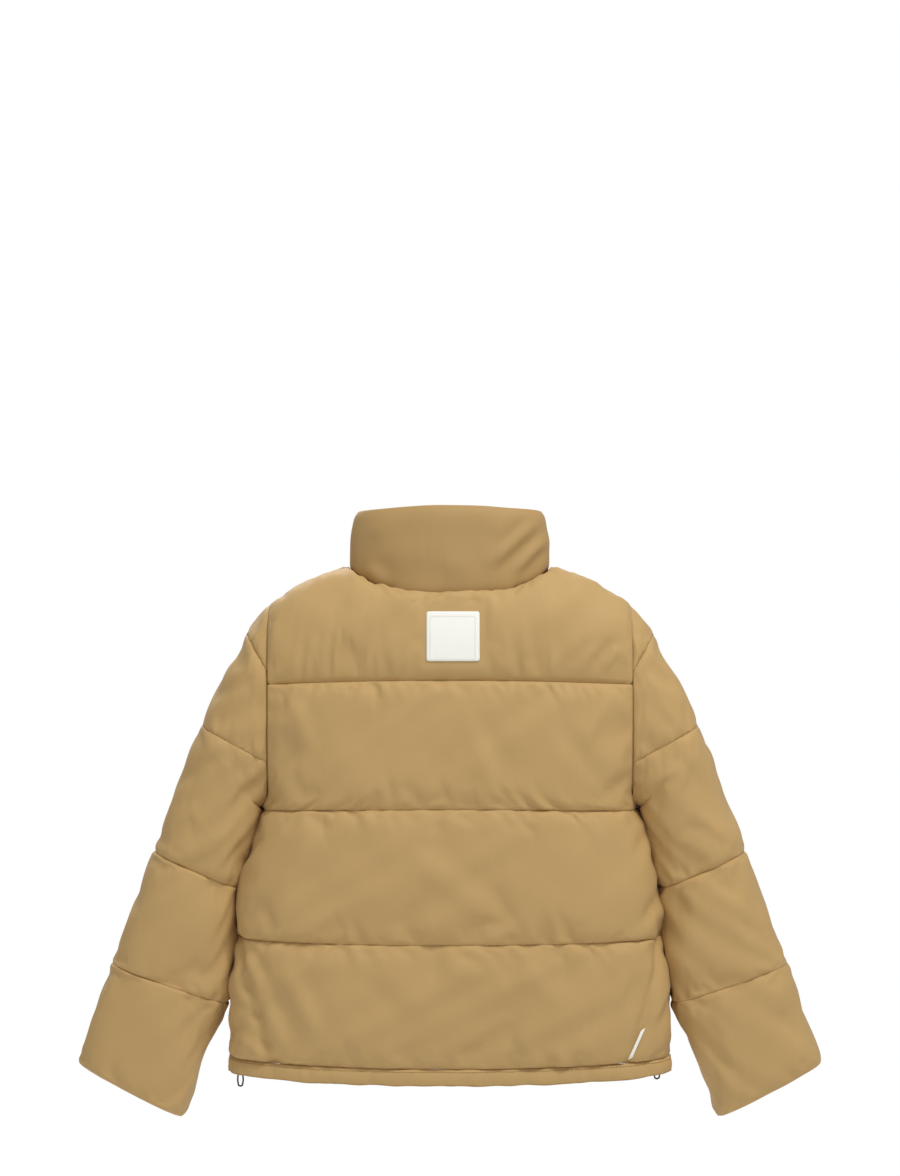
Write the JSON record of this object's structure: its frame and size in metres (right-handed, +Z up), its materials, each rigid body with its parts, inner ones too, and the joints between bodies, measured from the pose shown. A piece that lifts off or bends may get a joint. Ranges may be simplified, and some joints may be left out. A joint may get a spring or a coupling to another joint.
{
  "type": "quilted puffer jacket",
  "caption": "Cropped puffer jacket with a stand collar, wide quilted baffles, front zip, hand pockets, hem drawcord and sleeves that lift at the shoulder and bend at the elbow.",
  "frame": {"origin": "middle of the hanger loop inside the back of the neck", "axes": "+Z up as the jacket hangs, -Y out of its front, +X to the wearer's left"},
  "size_m": [0.8952, 0.1682, 0.7385],
  "materials": {
    "shell_nylon": "satin",
    "lining_cloth": "matte",
    "elastic_band": "matte",
    "zip_teeth": "satin",
    "zip_tape": "matte",
    "zip_metal": "satin",
    "lock_plastic": "satin",
    "elastic_cord": "matte",
    "label_cloth": "matte"
  },
  "bodies": {
    "body": {"back_yoke": "shell_nylon", "back_upper_baffle": "shell_nylon", "back_middle_baffle": "shell_nylon", "back_lower_baffle": "shell_nylon", "collar": "shell_nylon", "hem_band": "shell_nylon", "zip_wind_flap": "shell_nylon", "left_front_yoke": "shell_nylon", "left_front_upper_baffle": "shell_nylon", "left_front_middle_baffle": "shell_nylon", "left_front_lower_baffle": "shell_nylon", "left_front_lining": "lining_cloth", "left_pocket_bag": "lining_cloth", "left_zip_teeth": "zip_teeth", "left_pocket_zip_chain": "zip_teeth", "left_zip_tape": "zip_tape", "left_cord_lock_barrel": "lock_plastic", "left_cord_loop": "elastic_cord", "right_front_yoke": "shell_nylon", "right_front_upper_baffle": "shell_nylon", "right_front_middle_baffle": "shell_nylon", "right_front_lower_baffle": "shell_nylon", "right_front_lining": "lining_cloth", "right_pocket_bag": "lining_cloth", "right_zip_teeth": "zip_teeth", "right_pocket_zip_chain": "zip_teeth", "right_zip_tape": "zip_tape", "right_cord_lock_barrel": "lock_plastic", "right_cord_loop": "elastic_cord", "back_lining": "lining_cloth", "zip_retainer_box": "zip_teeth", "hem_drawcord": "elastic_cord", "hanger_loop": "zip_tape", "label_patch": "label_cloth", "size_label": "label_cloth", "side_tag": "label_cloth"},
    "left_sleeve": {"left_sleeve_cap": "shell_nylon", "left_sleeve_upper_baffle": "shell_nylon", "left_sleeve_elbow_baffle": "shell_nylon", "left_sleeve_upper_lining": "lining_cloth"},
    "left_forearm": {"left_sleeve_forearm_baffle": "shell_nylon", "left_sleeve_cuff_baffle": "shell_nylon", "left_sleeve_lower_lining": "lining_cloth", "left_cuff_elastic": "elastic_band"},
    "right_sleeve": {"right_sleeve_cap": "shell_nylon", "right_sleeve_upper_baffle": "shell_nylon", "right_sleeve_elbow_baffle": "shell_nylon", "right_sleeve_upper_lining": "lining_cloth"},
    "right_forearm": {"right_sleeve_forearm_baffle": "shell_nylon", "right_sleeve_cuff_baffle": "shell_nylon", "right_sleeve_lower_lining": "lining_cloth", "right_cuff_elastic": "elastic_band"},
    "main_slider": {"main_zip_slider": "zip_metal"},
    "main_pull": {"main_zip_pull": "zip_metal"},
    "left_pocket_slider_body": {"left_pocket_slider": "zip_metal"},
    "left_pocket_pull_body": {"left_pocket_pull": "zip_metal"},
    "left_button": {"left_cord_lock_button": "lock_plastic"},
    "right_pocket_slider_body": {"right_pocket_slider": "zip_metal"},
    "right_pocket_pull_body": {"right_pocket_pull": "zip_metal"},
    "right_button": {"right_cord_lock_button": "lock_plastic"}
  },
  "joints": [
    {"name": "left_shoulder", "type": "hinge", "parent": "body", "child": "left_sleeve", "pos_m": [0.2183, -0.0344, -0.03], "axis": [0, -1, 0], "range_deg": [0, 50]},
    {"name": "left_elbow", "type": "hinge", "parent": "left_sleeve", "child": "left_forearm", "pos_m": [0.307, -0.0844, -0.3515], "axis": [-0.9187, 0, -0.395], "range_deg": [0, 70], "stiffness_Nm_per_rad": 0.08, "springref_deg": -40.11},
    {"name": "right_shoulder", "type": "hinge", "parent": "body", "child": "right_sleeve", "pos_m": [-0.2183, -0.0344, -0.03], "axis": [0, 1, 0], "range_deg": [0, 50]},
    {"name": "right_elbow", "type": "hinge", "parent": "right_sleeve", "child": "right_forearm", "pos_m": [-0.307, -0.0844, -0.3515], "axis": [-0.9187, 0, 0.395], "range_deg": [0, 70], "stiffness_Nm_per_rad": 0.08, "springref_deg": -40.11},
    {"name": "main_zip", "type": "slide", "parent": "body", "child": "main_slider", "axis": [0, 0, -1], "range_m": [0, 0.63]},
    {"name": "main_pull_swing", "type": "hinge", "parent": "main_slider", "child": "main_pull", "pos_m": [0, -0.1099, 0.058], "axis": [-1, 0, 0], "range_deg": [0, 170]},
    {"name": "left_pocket_zip", "type": "slide", "parent": "body", "child": "left_pocket_slider_body", "axis": [0.309, 0, -0.9511], "range_m": [0, 0.128]},
    {"name": "left_pocket_pull_swing", "type": "hinge", "parent": "left_pocket_slider_body", "child": "left_pocket_pull_body", "pos_m": [0.13008, -0.11212, -0.3697], "axis": [-0.9511, 0, -0.309], "range_deg": [0, 170]},
    {"name": "left_lock_press", "type": "slide", "parent": "body", "child": "left_button", "axis": [0, -1, 0], "range_m": [0, 0.003], "stiffness_N_per_m": 300, "springref_m": -0.001},
    {"name": "right_pocket_zip", "type": "slide", "parent": "body", "child": "right_pocket_slider_body", "axis": [-0.309, 0, -0.9511], "range_m": [0, 0.128]},
    {"name": "right_pocket_pull_swing", "type": "hinge", "parent": "right_pocket_slider_body", "child": "right_pocket_pull_body", "pos_m": [-0.13008, -0.11212, -0.3697], "axis": [-0.9511, 0, 0.309], "range_deg": [0, 170]},
    {"name": "right_lock_press", "type": "slide", "parent": "body", "child": "right_button", "axis": [0, -1, 0], "range_m": [0, 0.003], "stiffness_N_per_m": 300, "springref_m": -0.001}
  ]
}
